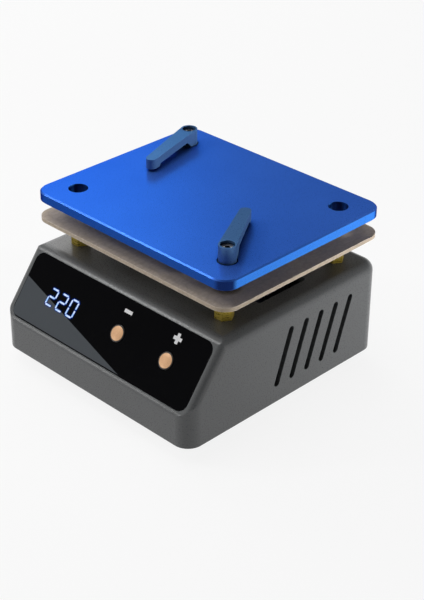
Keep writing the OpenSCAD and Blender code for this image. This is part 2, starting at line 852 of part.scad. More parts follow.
// Bent wire in the XZ plane: out of the heater, down, and back into the terminal
module heater_lead() {
    z_hot = z_gap + plate_gap / 2;
    z_end = z_parts + terminal_z;
    x_in = terminal_x - terminal_w / 2 + terminal_in;
    translate([-heater_len / 2, 0, z_hot]) rotate([0, -90, 0]) cylinder(d = lead_d, h = lead_run);
    translate([-lead_cx + lead_bend, 0, z_hot - lead_bend]) lead_elbow(90, lead_d);
    translate([-lead_cx, 0, z_end + lead_bend]) cylinder(d = lead_d, h = z_hot - z_end - 2 * lead_bend);
    translate([-lead_cx + lead_bend, 0, z_end + lead_bend]) lead_elbow(180, lead_d);
    translate([-lead_cx + lead_bend, 0, z_end]) rotate([0, 90, 0])
        cylinder(d = lead_d, h = x_in + lead_cx - lead_bend);
}

module lead_elbow(start, d) {
    rotate([90, 0, 0]) rotate(start) rotate_extrude(angle = 90) translate([lead_bend, 0]) circle(d = d);
}

module heater_leads() {
    color([0.7, 0.1, 0.08]) on_plates() for (side = [-1, 1])
        translate([0, side * lead_pitch / 2, 0]) heater_lead();
}

module temperature_sensor() {
    color([0.85, 0.85, 0.8]) on_plates() translate([lead_cx, sensor_y, z_plate - sensor_t])
        rounded_block(sensor_w, sensor_d, sensor_t, 2 * fine_r);
}

// Straight wire down from the sensor, then an elbow into its socket
module sensor_lead() {
    z_end = z_parts + socket_z;
    z_bend = z_end + lead_bend;
    x_in = socket_x + socket_w / 2 - socket_in;
    translate([lead_cx, 0, z_bend]) cylinder(d = sensor_lead_d, h = z_plate - sensor_t - z_bend);
    translate([lead_cx - lead_bend, 0, z_bend]) lead_elbow(270, sensor_lead_d);
    translate([x_in, 0, z_end]) rotate([0, 90, 0])
        cylinder(d = sensor_lead_d, h = lead_cx - lead_bend - x_in);
}

module sensor_leads() {
    color([0.09, 0.09, 0.09]) on_plates() for (side = [-1, 1])
        translate([0, sensor_y + side * sensor_pitch / 2, 0]) sensor_lead();
}

// Bevelled slab, wider below than at its two faces
module bevelled_slab(w, d, h, r, bevel) {
    intersection() {
        rounded_block(w, d, h, r);
        bevel_bars(w, d, h, bevel);
        bevel_corners(w, d, h, r, bevel);
    }
}

module bevel_section(w, h, bevel) {
    polygon([[-w / 2 + bevel, 0], [w / 2 - bevel, 0], [w / 2, bevel], [w / 2, h - bevel],
        [w / 2 - bevel, h], [-w / 2 + bevel, h], [-w / 2, h - bevel], [-w / 2, bevel]]);
}

module bevel_bars(w, d, h, bevel) {
    intersection() {
        rotate([90, 0, 0]) linear_extrude(d + over, center = true) bevel_section(w, h, bevel);
        rotate([90, 0, 90]) linear_extrude(w + over, center = true) bevel_section(d, h, bevel);
    }
}

// Slab that follows the bevel round the corners
module bevel_corners(w, d, h, r, bevel) {
    linear_extrude(h) square([w, d - 2 * r], center = true);
    linear_extrude(h) square([w - 2 * r, d], center = true);
    at_four(w / 2 - r, d / 2 - r) rotate_extrude()
        polygon([[0, 0], [r - bevel, 0], [r, bevel], [r, h - bevel], [r - bevel, h], [0, h]]);
}

module work_plate() {
    color([0.13, 0.33, 0.75]) on_plates() translate([0, 0, z_plate]) difference() {
        bevelled_slab(plate_w, plate_d, plate_t, plate_r, plate_bevel);
        translate([0, 0, -over]) {
            at_four(hole_cx, hole_cy) cylinder(d = hole_lip_d, h = plate_t + 2 * over);
            at_four(spacer_cx, spacer_cy)
                cylinder(d = plate_screw_d + 2 * run_fit, h = plate_screw_deep + over);
        }
        translate([0, 0, hole_lip_t]) at_four(hole_cx, hole_cy) cylinder(d = hole_d, h = plate_t);
    }
}

// Clamps

module at_clamp(i, j, turn) {
    translate([i * hole_cx, plate_y + j * hole_cy, z_work]) rotate(turn) children();
}

// Plan of an arm: straight flanks from inside the hub to a round tip
module arm_plan() {
    root_r = hub_d / 2 - flank_in;
    reach = arm_len - tip_w / 2;
    lean = acos((root_r - tip_w / 2) / reach);
    near = root_r * [cos(lean), sin(lean)];
    far = [reach, 0] + tip_w / 2 * [cos(lean), sin(lean)];
    polygon([near, far, [far[0], -far[1]], [near[0], -near[1]]]);
    translate([reach, 0]) circle(d = tip_w);
}

// Side of an arm: level over the hub, falling to the tip, with a foot under the tip
module arm_side() {
    root = hub_d / 2;
    foot_x = arm_len - tip_foot;
    fall = tip_fall / (arm_len - root);
    polygon([[-root - over, arm_clear], [root, arm_clear],
        [root + arm_gusset, hub_h - arm_t - fall * arm_gusset],
        [foot_x, hub_h - arm_t - fall * (foot_x - root)], [foot_x + foot_draft, foot_gap],
        [arm_len + over, foot_gap], [arm_len + over, hub_h - tip_fall - fall * over],
        [root, hub_h], [-root - over, hub_h]]);
}

module clamp_arm() {
    color([0.16, 0.29, 0.44]) difference() {
        union() {
            intersection() {
                linear_extrude(hub_h) arm_plan();
                rotate([90, 0, 0]) linear_extrude(2 * hub_d, center = true) arm_side();
            }
            translate([0, 0, -ring_deep]) cylinder(d = hub_d, h = ring_deep + hub_h);
            translate([0, 0, -plate_t + spigot_end])
                cylinder(d = hole_d - 2 * run_fit, h = plate_t - spigot_end - ring_deep);
        }
        translate([0, 0, -plate_t]) cylinder(d = pin_d + 2 * run_fit, h = plate_t + hub_h);
        translate([0, 0, hub_h - sink_deep]) cylinder(d = sink_d, h = sink_deep + over);
    }
}

// Shoulder screw: socket head in the hub, shoulder through the plate, thread below
module clamp_pin() {
    head_z = hub_h - sink_deep + run_fit;
    shoulder_z = -plate_t - spring_len;
    color("silver") {
        difference() {
            translate([0, 0, head_z]) cylinder(d = sink_d - 4 * slip_fit, h = head_h);
            translate([0, 0, head_z + head_h - key_deep]) cylinder(d = key_af / cos(30), h = over, $fn = 6);
        }
        translate([0, 0, shoulder_z]) cylinder(d = pin_d, h = head_z - shoulder_z);
        translate([0, 0, shoulder_z - washer_t - nut_h - pin_tail])
            cylinder(d = thread_d, h = washer_t + nut_h + pin_tail);
    }
}

module clamp_washer() {
    color("silver") translate([0, 0, -plate_t - spring_len - washer_t]) difference() {
        cylinder(d = washer_d, h = washer_t);
        translate([0, 0, -over]) cylinder(d = thread_d + 2 * run_fit, h = washer_t + 2 * over);
    }
}

module clamp_nut() {
    color([0.78, 0.62, 0.25]) translate([0, 0, -plate_t - spring_len - washer_t - nut_h]) difference() {
        cylinder(d = nut_af / cos(30), h = nut_h, $fn = 6);
        translate([0, 0, -over]) cylinder(d = thread_d + 2 * run_fit, h = nut_h + 2 * over);
    }
}

// Open coil between the work plate and the washer, swept along its helix
spring_steps = 44;
spring_sides = 6;
function coil_centre(i) = let (a = 360 * spring_turns * i / spring_steps)
    [spring_r * cos(a), spring_r * sin(a), wire_d / 2 + (spring_len - wire_d) * i / spring_steps];
function coil_ring(i) = let (a = 360 * spring_turns * i / spring_steps, c = coil_centre(i))
    [for (k = [0:spring_sides - 1]) let (b = 360 * k / spring_sides, out = wire_d / 2 * cos(b))
        [c[0] + out * cos(a), c[1] + out * sin(a), c[2] + wire_d / 2 * sin(b)]];

module clamp_spring() {
    n = spring_sides;
    color([0.7, 0.7, 0.72]) translate([0, 0, -plate_t - spring_len]) polyhedron(
        points = [for (i = [0:spring_steps]) each coil_ring(i)],
        faces = concat([[for (k = [0:n - 1]) k]], [[for (k = [n - 1:-1:0]) spring_steps * n + k]],
            [for (i = [0:spring_steps - 1], k = [0:n - 1])
                [i * n + k, (i + 1) * n + k, (i + 1) * n + (k + 1) % n, i * n + (k + 1) % n]]));
}

module at_front() { at_clamp(1, -1, front_turn) children(); }
module at_rear() { at_clamp(-1, 1, rear_turn) children(); }

module front_clamp_arm() { at_front() clamp_arm(); }
module front_clamp_pin() { at_front() clamp_pin(); }
module front_clamp_washer() { at_front() clamp_washer(); }
module front_clamp_nut() { at_front() clamp_nut(); }
module front_clamp_spring() { at_front() clamp_spring(); }
module rear_clamp_arm() { at_rear() clamp_arm(); }
module rear_clamp_pin() { at_rear() clamp_pin(); }
module rear_clamp_washer() { at_rear() clamp_washer(); }
module rear_clamp_nut() { at_rear() clamp_nut(); }
module rear_clamp_spring() { at_rear() clamp_spring(); }

housing_shell();
bottom_cover();
rubber_feet();
base_screws();
front_panel();
display_module();
control_board();
control_board_screws();
tact_switches();
minus_button();
plus_button();
minus_plunger();
plus_plunger();
main_board();
main_board_screws();
dc_jack();
filter_capacitors();
power_inductor();
power_transistor();
heat_sink();
controller_chip();
heater_terminal();
sensor_socket();
ribbon_sockets();
ribbon_cable();
front_left_standoff();
front_right_standoff();
rear_left_standoff();
rear_right_standoff();
standoff_screws();
insulation_plate();
plate_spacers();
plate_screws();
heater_block();
heater_leads();
temperature_sensor();
sensor_leads();
work_plate();
front_clamp_arm();
front_clamp_pin();
front_clamp_washer();
front_clamp_nut();
front_clamp_spring();
rear_clamp_arm();
rear_clamp_pin();
rear_clamp_washer();
rear_clamp_nut();
rear_clamp_spring();
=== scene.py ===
import json
import math

import bmesh
import bpy
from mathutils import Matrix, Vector


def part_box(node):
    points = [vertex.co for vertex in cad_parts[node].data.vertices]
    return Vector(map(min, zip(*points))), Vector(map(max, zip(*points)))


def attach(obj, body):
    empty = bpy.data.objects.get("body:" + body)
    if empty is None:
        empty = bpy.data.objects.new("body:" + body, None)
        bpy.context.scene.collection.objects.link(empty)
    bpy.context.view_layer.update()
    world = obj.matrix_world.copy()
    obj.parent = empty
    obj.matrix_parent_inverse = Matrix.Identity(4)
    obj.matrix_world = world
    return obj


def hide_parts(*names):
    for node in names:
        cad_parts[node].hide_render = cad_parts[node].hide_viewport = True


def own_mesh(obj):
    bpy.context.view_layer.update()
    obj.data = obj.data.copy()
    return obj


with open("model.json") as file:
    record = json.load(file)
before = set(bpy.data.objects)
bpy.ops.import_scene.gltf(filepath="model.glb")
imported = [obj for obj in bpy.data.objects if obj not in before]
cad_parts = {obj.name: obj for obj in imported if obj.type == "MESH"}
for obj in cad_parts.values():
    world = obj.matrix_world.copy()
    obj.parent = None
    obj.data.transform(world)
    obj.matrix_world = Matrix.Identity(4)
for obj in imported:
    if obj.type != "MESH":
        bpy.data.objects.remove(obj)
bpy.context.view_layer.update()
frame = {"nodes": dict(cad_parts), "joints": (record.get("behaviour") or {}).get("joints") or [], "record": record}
scene = bpy.context.scene
scene.view_settings.view_transform = "Standard"
slotOf = {part["node"]: part["material_slot"] for part in frame["record"]["subparts"]}


# Camera at the photograph's angle, for a picture of 424 by 600
view = {
    "turn": 45.56,
    "rise": 29.15,
    "away": 0.43846,
    "aim": (0.0, 0.0, 0.033),
    "lens": 88.344,
    "slideX": 0.0371,
    "slideY": -0.0611,
}


def placeCamera():
    turn = math.radians(view["turn"])
    rise = math.radians(view["rise"])
    out = Vector((math.sin(turn) * math.cos(rise), -math.cos(turn) * math.cos(rise), math.sin(rise)))
    data = bpy.data.cameras.new("benchCamera")
    data.sensor_width = 36
    data.lens = view["lens"]
    data.shift_x = view["slideX"]
    data.shift_y = view["slideY"]
    camera = bpy.data.objects.new("benchCamera", data)
    camera.location = Vector(view["aim"]) + view["away"] * out
    camera.rotation_euler = (-out).to_track_quat("-Z", "Y").to_euler()
    scene.collection.objects.link(camera)
    scene.camera = camera


placeCamera()
print("camera placed")


# Node helpers
def linear(red, green, blue):
    def one(value):
        value /= 255
        return value / 12.92 if value <= 0.04045 else ((value + 0.055) / 1.055) ** 2.4
    return (one(red), one(green), one(blue), 1.0)


def addNode(tree, kind, inputs=None, **settings):
    node = tree.nodes.new(kind)
    for name, value in settings.items():
        setattr(node, name, value)
    for name, value in (inputs or {}).items():
        node.inputs[name].default_value = value
    return node


def newGroup(name, inputs, outputs):
    tree = bpy.data.node_groups.new(name, "ShaderNodeTree")
    for label, kind, value in inputs:
        socket = tree.interface.new_socket(label, in_out="INPUT", socket_type="NodeSocket" + kind)
        socket.default_value = value
    for label, kind in outputs:
        tree.interface.new_socket(label, in_out="OUTPUT", socket_type="NodeSocket" + kind)
    return tree, tree.nodes.new("NodeGroupInput"), tree.nodes.new("NodeGroupOutput")


def placeGroup(tree, group, values):
    node = tree.nodes.new("ShaderNodeGroup")
    node.node_tree = group
    for name, value in values.items():
        node.inputs[name].default_value = value
    return node


# Grain: two tones, a spread of roughness and a height, all from the piece's own coordinates
def makeGrain():
    tree, enter, leave = newGroup(
        "surfaceGrain",
        [("Tone", "Color", (0.5, 0.5, 0.5, 1)), ("Fleck", "Color", (0.4, 0.4, 0.4, 1)),
         ("Size", "Float", 2000.0), ("Stretch", "Vector", (1, 1, 1)),
         ("Smooth", "Float", 0.4), ("Rough", "Float", 0.6)],
        [("Colour", "Color"), ("Roughness", "Float"), ("Height", "Float")],
    )
    place = addNode(tree, "ShaderNodeTexCoord")
    stretch = addNode(tree, "ShaderNodeVectorMath", operation="MULTIPLY")
    fine = addNode(tree, "ShaderNodeTexNoise", {"Detail": 3.0, "Roughness": 0.6})
    broad = addNode(tree, "ShaderNodeTexNoise", {"Scale": 70.0, "Detail": 2.0})
    blend = addNode(tree, "ShaderNodeMath", {1: 0.35}, operation="MULTIPLY_ADD")
    contrast = addNode(tree, "ShaderNodeMapRange", {"From Min": 0.42, "From Max": 0.92})
    tone = addNode(tree, "ShaderNodeMix", data_type="RGBA")
    rough = addNode(tree, "ShaderNodeMapRange", {"From Min": 0.35, "From Max": 0.65})
    link = tree.links.new
    link(place.outputs["Object"], stretch.inputs[0])
    link(enter.outputs["Stretch"], stretch.inputs[1])
    link(stretch.outputs[0], fine.inputs["Vector"])
    link(enter.outputs["Size"], fine.inputs["Scale"])
    link(place.outputs["Object"], broad.inputs["Vector"])
    link(broad.outputs["Fac"], blend.inputs[0])
    link(fine.outputs["Fac"], blend.inputs[2])
    link(blend.outputs[0], contrast.inputs["Value"])
    link(contrast.outputs[0], tone.inputs["Factor"])
    link(enter.outputs["Tone"], tone.inputs["A"])
    link(enter.outputs["Fleck"], tone.inputs["B"])
    link(fine.outputs["Fac"], rough.inputs["Value"])
    link(enter.outputs["Smooth"], rough.inputs["To Min"])
    link(enter.outputs["Rough"], rough.inputs["To Max"])
    link(tone.outputs["Result"], leave.inputs["Colour"])
    link(rough.outputs[0], leave.inputs["Roughness"])
    link(fine.outputs["Fac"], leave.inputs["Height"])
    return tree


# Paler rounded edges, partly rubbed wear and partly a painted highlight: where the rounded normal leaves the flat
# one, broken up by noise
def makeEdgeWearAndHighlight():
    tree, enter, leave = newGroup(
        "edgeWearAndHighlight",
        [("Under", "Color", (0.5, 0.5, 0.5, 1)), ("Bright", "Color", (0.8, 0.8, 0.8, 1)),
         ("Reach", "Float", 0.0003), ("Amount", "Float", 0.6)],
        [("Colour", "Color")],
    )
    place = addNode(tree, "ShaderNodeTexCoord")
    soft = addNode(tree, "ShaderNodeBevel", samples=6)
    flat = addNode(tree, "ShaderNodeNewGeometry")
    agree = addNode(tree, "ShaderNodeVectorMath", operation="DOT_PRODUCT")
    edge = addNode(tree, "ShaderNodeMapRange", {"From Min": 0.995, "From Max": 0.82})
    patch = addNode(tree, "ShaderNodeTexNoise", {"Scale": 900.0, "Detail": 3.0})
    wearAndSheen = addNode(tree, "ShaderNodeMapRange", {"From Min": 0.3, "From Max": 0.6, "To Min": 0.55})
    both = addNode(tree, "ShaderNodeMath", operation="MULTIPLY")
    level = addNode(tree, "ShaderNodeMath", operation="MULTIPLY")
    tone = addNode(tree, "ShaderNodeMix", data_type="RGBA")
    link = tree.links.new
    link(enter.outputs["Reach"], soft.inputs["Radius"])
    link(soft.outputs["Normal"], agree.inputs[0])
    link(flat.outputs["Normal"], agree.inputs[1])
    link(agree.outputs["Value"], edge.inputs["Value"])
    link(place.outputs["Object"], patch.inputs["Vector"])
    link(patch.outputs["Fac"], wearAndSheen.inputs["Value"])
    link(edge.outputs[0], both.inputs[0])
    link(wearAndSheen.outputs[0], both.inputs[1])
    link(both.outputs[0], level.inputs[0])
    link(enter.outputs["Amount"], level.inputs[1])
    link(level.outputs[0], tone.inputs["Factor"])
    link(enter.outputs["Under"], tone.inputs["A"])
    link(enter.outputs["Bright"], tone.inputs["B"])
    link(tone.outputs["Result"], leave.inputs["Colour"])
    return tree


# Painted shade in crevices: a darker tone where nearby walls close a spot in
def makeCavity():
    tree, enter, leave = newGroup(
        "cavityShade",
        [("Under", "Color", (0.5, 0.5, 0.5, 1)), ("Deep", "Color", (0.02, 0.02, 0.02, 1)),
         ("Reach", "Float", 0.003), ("Amount", "Float", 0.9)],
        [("Colour", "Color")],
    )
    closed = addNode(tree, "ShaderNodeAmbientOcclusion", samples=8)
    level = addNode(tree, "ShaderNodeMapRange", {"From Min": 0.7, "From Max": 0.25})
    share = addNode(tree, "ShaderNodeMath", operation="MULTIPLY")
    tone = addNode(tree, "ShaderNodeMix", data_type="RGBA")
    link = tree.links.new
    link(enter.outputs["Reach"], closed.inputs["Distance"])
    link(closed.outputs["AO"], level.inputs["Value"])
    link(level.outputs[0], share.inputs[0])
    link(enter.outputs["Amount"], share.inputs[1])
    link(share.outputs[0], tone.inputs["Factor"])
    link(enter.outputs["Under"], tone.inputs["A"])
    link(enter.outputs["Deep"], tone.inputs["B"])
    link(tone.outputs["Result"], leave.inputs["Colour"])
    return tree


surfaceGrain = makeGrain()
edgeWearAndHighlight = makeEdgeWearAndHighlight()
cavityShade = makeCavity()
print("shared surface groups made")


# One surface: grain into colour, roughness and bump, then painted shade in crevices and paler rounded edges,
# partly wear and partly painted highlight, on the colour
def makeSurface(name, look):
    material = bpy.data.materials.new(name)
    material.use_nodes = True
    tree = material.node_tree
    shader = tree.nodes["Principled BSDF"]
    shader.inputs["Metallic"].default_value = look.get("metal", 0.0)
    shader.inputs["Specular IOR Level"].default_value = look.get("shine", 0.5)
    shader.inputs["Specular Tint"].default_value = linear(*look.get("tint", (255, 255, 255)))
    grain = placeGroup(tree, surfaceGrain, {
        "Tone": linear(*look["tone"]), "Fleck": linear(*look["fleck"]), "Size": look["grain"],
        "Stretch": look.get("stretch", (1, 1, 1)), "Smooth": look["smooth"], "Rough": look["rough"],
    })
    # painted shade: darker tone in crevices and recesses
    cavity = placeGroup(tree, cavityShade, {
        "Deep": linear(*(channel * look.get("shadeDepth", 0.25) for channel in look["tone"])),
        "Amount": look.get("shadeShare", 0.9), "Reach": look.get("shadeReach", 0.003),
    })
    # paler rounded edges: partly wear, partly a painted highlight
    wearAndHighlight = placeGroup(tree, edgeWearAndHighlight, {
        "Bright": linear(*look["edge"]), "Reach": look.get("reach", 0.0003),
        "Amount": look.get("wearAndSheen", 0.5),
    })
    bump = addNode(tree, "ShaderNodeBump", {
        "Strength": look["bump"], "Distance": look.get("deep", 0.00004),
    })
    link = tree.links.new
    link(grain.outputs["Colour"], cavity.inputs["Under"])
    link(cavity.outputs["Colour"], wearAndHighlight.inputs["Under"])
    link(wearAndHighlight.outputs["Colour"], shader.inputs["Base Color"])
    link(grain.outputs["Roughness"], shader.inputs["Roughness"])
    link(grain.outputs["Height"], bump.inputs["Height"])
    link(bump.outputs["Normal"], shader.inputs["Normal"])
    return material, tree, shader, wearAndHighlight


greyMoulding = {
    "tone": (86, 88, 89), "fleck": (79, 80, 81), "edge": (114, 120, 122), "grain": 2600.0, "smooth": 0.26,
    "rough": 0.33, "bump": 0.04, "deep": 0.00003, "wearAndSheen": 0.3, "reach": 0.0006, "shine": 0.5,
}
coverMoulding = {
    "tone": (58, 59, 60), "fleck": (48, 48, 49), "edge": (84, 86, 87), "grain": 1900.0, "smooth": 0.55,
    "rough": 0.75, "bump": 0.45, "deep": 0.00004, "wearAndSheen": 0.35, "shine": 0.3,
}
footRubber = {
    "tone": (34, 34, 34), "fleck": (26, 26, 26), "edge": (60, 60, 60), "grain": 1500.0, "smooth": 0.75,
    "rough": 0.95, "bump": 0.5, "deep": 0.00006, "wearAndSheen": 0.3, "shine": 0.2,
}
platedSteel = {
    "tone": (186, 187, 190), "fleck": (158, 159, 163), "edge": (226, 227, 230), "grain": 2400.0,
    "smooth": 0.22, "rough": 0.4, "bump": 0.12, "deep": 0.00002, "wearAndSheen": 0.6, "reach": 0.00015,
    "metal": 1.0,
}
turnedBrass = {
    "tone": (194, 171, 75), "fleck": (184, 160, 66), "edge": (216, 200, 122), "grain": 500.0,
    "stretch": (1, 1, 6), "smooth": 0.24, "rough": 0.36, "bump": 0.05, "deep": 0.00001, "wearAndSheen": 0.4,
    "reach": 0.0002, "metal": 0.7, "shine": 0.2, "shadeShare": 0.4,
}
darkPlastic = {
    "tone": (38, 38, 40), "fleck": (29, 29, 31), "edge": (66, 66, 69), "grain": 2400.0, "smooth": 0.45,
    "rough": 0.65, "bump": 0.3, "wearAndSheen": 0.35, "shine": 0.4,
}
ferriteBlock = {
    "tone": (92, 92, 95), "fleck": (66, 66, 69), "edge": (124, 124, 127), "grain": 3600.0, "smooth": 0.55,
    "rough": 0.8, "bump": 0.5, "wearAndSheen": 0.5,
}
extrudedAluminium = {
    "tone": (206, 208, 210), "fleck": (178, 181, 184), "edge": (236, 237, 238), "grain": 900.0,
    "stretch": (8, 8, 0.4), "smooth": 0.28, "rough": 0.48, "bump": 0.2, "deep": 0.00002, "wearAndSheen": 0.5,
    "reach": 0.0002, "metal": 1.0,
}
terminalGreen = {
    "tone": (54, 134, 84), "fleck": (44, 116, 72), "edge": (92, 168, 120), "grain": 2200.0, "smooth": 0.4,
    "rough": 0.55, "bump": 0.25, "wearAndSheen": 0.4,
}
socketIvory = {
    "tone": (232, 226, 206), "fleck": (216, 208, 184), "edge": (246, 243, 230), "grain": 2200.0,
    "smooth": 0.4, "rough": 0.55, "bump": 0.2, "wearAndSheen": 0.4,
}
redSleeve = {
    "tone": (178, 34, 28), "fleck": (150, 24, 22), "edge": (206, 76, 66), "grain": 1400.0,
    "stretch": (4, 4, 1), "smooth": 0.5, "rough": 0.7, "bump": 0.35, "wearAndSheen": 0.3,
}
blackSleeve = {
    "tone": (30, 30, 31), "fleck": (22, 22, 23), "edge": (52, 52, 54), "grain": 1400.0,
    "stretch": (4, 4, 1), "smooth": 0.5, "rough": 0.7, "bump": 0.35, "wearAndSheen": 0.3,
}
spacerCeramic = {
    "tone": (240, 238, 230), "fleck": (226, 223, 212), "edge": (250, 249, 246), "grain": 1800.0,
    "smooth": 0.5, "rough": 0.7, "bump": 0.3, "wearAndSheen": 0.3,
}
clampAnodise = {
    "tone": (82, 118, 164), "fleck": (74, 107, 150), "edge": (122, 156, 198), "grain": 3000.0,
    "smooth": 0.26, "rough": 0.38, "bump": 0.12, "deep": 0.00002, "wearAndSheen": 0.4, "reach": 0.00015,
    "metal": 0.5, "shine": 0.0, "tint": (88, 124, 170), "shadeDepth": 0.1,
}

plainSurfaces = {
    "housing_grey": greyMoulding, "cover_grey": coverMoulding, "foot_rubber": footRubber,
    "screw_steel": platedSteel, "brass": turnedBrass, "dark_plastic": darkPlastic, "ferrite": ferriteBlock,
    "bare_aluminium": extrudedAluminium, "terminal_green": terminalGreen,
    "socket_ivory": socketIvory, "lead_red": redSleeve, "lead_black": blackSleeve,
    "spacer_white": spacerCeramic, "anodised_steel_blue": clampAnodise,
}
surfaces = {slot: makeSurface(slot, look)[0] for slot, look in plainSurfaces.items()}


# Blue work plate: fine bead texture, a slow drift of the dye, painted shade on the front and rear faces, painted
# light on the left and right faces, and painted shade on the rounded corners
blueAnodise = {
    "tone": (64, 112, 208), "fleck": (58, 103, 197), "edge": (100, 152, 236), "grain": 3400.0,
    "smooth": 0.26, "rough": 0.36, "bump": 0.06, "deep": 0.00002, "wearAndSheen": 0.4, "reach": 0.0001,
    "metal": 0.45, "shine": 0.0, "tint": (72, 124, 226), "shadeDepth": 0.03, "shadeReach": 0.006,
    "dye": (50, 94, 186), "drift": 22.0, "driftFrom": 0.4, "driftTo": 0.7, "driftShare": 0.3,
    # painted shade on the rounded corners and the front and rear faces, painted light on the left and right faces
    "corner": (24, 46, 104), "cornerShadeFrom": 0.1, "cornerShadeTo": 0.35,
    "frontShade": (0.42, 0.53, 0.6), "sideLight": (1.3, 1.85, 1.55), "flatFrom": 0.8, "flatTo": 0.98,
}


def makeBlueAnodise(look):
    material, tree, shader, wearAndHighlight = makeSurface("anodised_blue", look)
    place = addNode(tree, "ShaderNodeTexCoord")
    drift = addNode(tree, "ShaderNodeTexNoise", {"Scale": look["drift"], "Detail": 1.0})
    level = addNode(tree, "ShaderNodeMapRange", {
        "From Min": look["driftFrom"], "From Max": look["driftTo"], "To Max": look["driftShare"],
    })
    tone = addNode(tree, "ShaderNodeMix", {"B": linear(*look["dye"])}, data_type="RGBA")
    link = tree.links.new
    link(place.outputs["Object"], drift.inputs["Vector"])
    link(drift.outputs["Fac"], level.inputs["Value"])
    link(level.outputs[0], tone.inputs["Factor"])
    link(wearAndHighlight.outputs["Colour"], tone.inputs["A"])
    # painted light and shade by face direction: front and rear darker, left and right lighter, rounded corners
    # darker
    face = addNode(tree, "ShaderNodeNewGeometry")
    parts = addNode(tree, "ShaderNodeSeparateXYZ")
    slant = addNode(tree, "ShaderNodeMath", operation="MULTIPLY")
    size = addNode(tree, "ShaderNodeMath", operation="ABSOLUTE")
    turn = addNode(tree, "ShaderNodeMapRange", {
        "From Min": look["cornerShadeFrom"], "From Max": look["cornerShadeTo"],
    })
    corner = addNode(tree, "ShaderNodeMix", {"B": linear(*look["corner"])}, data_type="RGBA")
    link(face.outputs["Normal"], parts.inputs[0])

    def paintSideLight(axis, share, under):
        reach = addNode(tree, "ShaderNodeMath", operation="ABSOLUTE")
        flat = addNode(tree, "ShaderNodeMapRange", {
            "From Min": look["flatFrom"], "From Max": look["flatTo"],
        })
        sideShaded = addNode(tree, "ShaderNodeMix", {"B": share + (1,)}, data_type="RGBA", blend_type="MULTIPLY")
        link(parts.outputs[axis], reach.inputs[0])
        link(reach.outputs[0], flat.inputs["Value"])
        link(flat.outputs[0], sideShaded.inputs["Factor"])
        link(under, sideShaded.inputs["A"])
        return sideShaded.outputs["Result"]

    sides = paintSideLight("Y", look["frontShade"], tone.outputs["Result"])
    sides = paintSideLight("X", look["sideLight"], sides)
    link(parts.outputs["X"], slant.inputs[0])
    link(parts.outputs["Y"], slant.inputs[1])
    link(slant.outputs[0], size.inputs[0])
    link(size.outputs[0], turn.inputs["Value"])
    link(turn.outputs[0], corner.inputs["Factor"])
    link(sides, corner.inputs["A"])
    link(corner.outputs["Result"], shader.inputs["Base Color"])
    return material


# Cream insulating board: pressed fibres lying flat, paler at the cut edge, partly its own tone and partly a
# painted edge highlight
creamBoard = {
    "tone": (200, 185, 167), "fleck": (184, 168, 149), "edge": (244, 235, 223), "grain": 1300.0,
    "stretch": (1, 0.35, 1), "smooth": 0.65, "rough": 0.9, "bump": 0.45, "deep": 0.00005, "wearAndSheen": 0.8,
    "reach": 0.0003, "shine": 0.25, "fibre": (166, 150, 131), "fibres": 420.0, "fibreWidth": 0.12,
    "fibreShare": 0.35,
}


def makeCreamBoard(look):
    material, tree, shader, wearAndHighlight = makeSurface("insulation_cream", look)
    place = addNode(tree, "ShaderNodeTexCoord")
    weave = addNode(tree, "ShaderNodeTexVoronoi", {"Scale": look["fibres"]}, feature="DISTANCE_TO_EDGE")
    level = addNode(tree, "ShaderNodeMapRange", {
        "From Min": 0.0, "From Max": look["fibreWidth"], "To Min": look["fibreShare"], "To Max": 0.0,
    })
    tone = addNode(tree, "ShaderNodeMix", {"B": linear(*look["fibre"])}, data_type="RGBA")
    link = tree.links.new
    link(place.outputs["Object"], weave.inputs["Vector"])
    link(weave.outputs["Distance"], level.inputs["Value"])
    link(level.outputs[0], tone.inputs["Factor"])
    link(wearAndHighlight.outputs["Colour"], tone.inputs["A"])
    link(tone.outputs["Result"], shader.inputs["Base Color"])
    return material


# Green boards: tracks under the mask, seen as a lighter pattern of squared runs
greenBoard = {
    "tone": (26, 104, 62), "fleck": (20, 90, 53), "edge": (140, 150, 96), "grain": 2600.0, "smooth": 0.25,
    "rough": 0.4, "bump": 0.15, "wearAndSheen": 0.6, "reach": 0.0003, "track": (48, 140, 84), "tracks": 260.0,
    "trackWidth": 0.09, "trackSoft": 0.1, "runLong": 1.7, "runTall": 0.34,
}


def makeGreenBoard(look):
    material, tree, shader, wearAndHighlight = makeSurface("board_green", look)
    place = addNode(tree, "ShaderNodeTexCoord")
    runs = addNode(tree, "ShaderNodeTexBrick", {
        "Scale": look["tracks"], "Mortar Size": look["trackWidth"], "Mortar Smooth": look["trackSoft"],
        "Brick Width": look["runLong"], "Row Height": look["runTall"],
    })
    tone = addNode(tree, "ShaderNodeMix", {"B": linear(*look["track"])}, data_type="RGBA")
    link = tree.links.new
    link(place.outputs["Object"], runs.inputs["Vector"])
    link(runs.outputs["Fac"], tone.inputs["Factor"])
    link(wearAndHighlight.outputs["Colour"], tone.inputs["A"])
    link(tone.outputs["Result"], shader.inputs["Base Color"])
    return material


# Capacitor cans: dark sleeve with a bare metal top
canSleeve = {
    "tone": (46, 52, 84), "fleck": (38, 43, 72), "edge": (92, 98, 130), "grain": 1800.0, "smooth": 0.25,
    "rough": 0.42, "bump": 0.15, "wearAndSheen": 0.4, "bare": (198, 200, 202), "upright": 0.9,
}


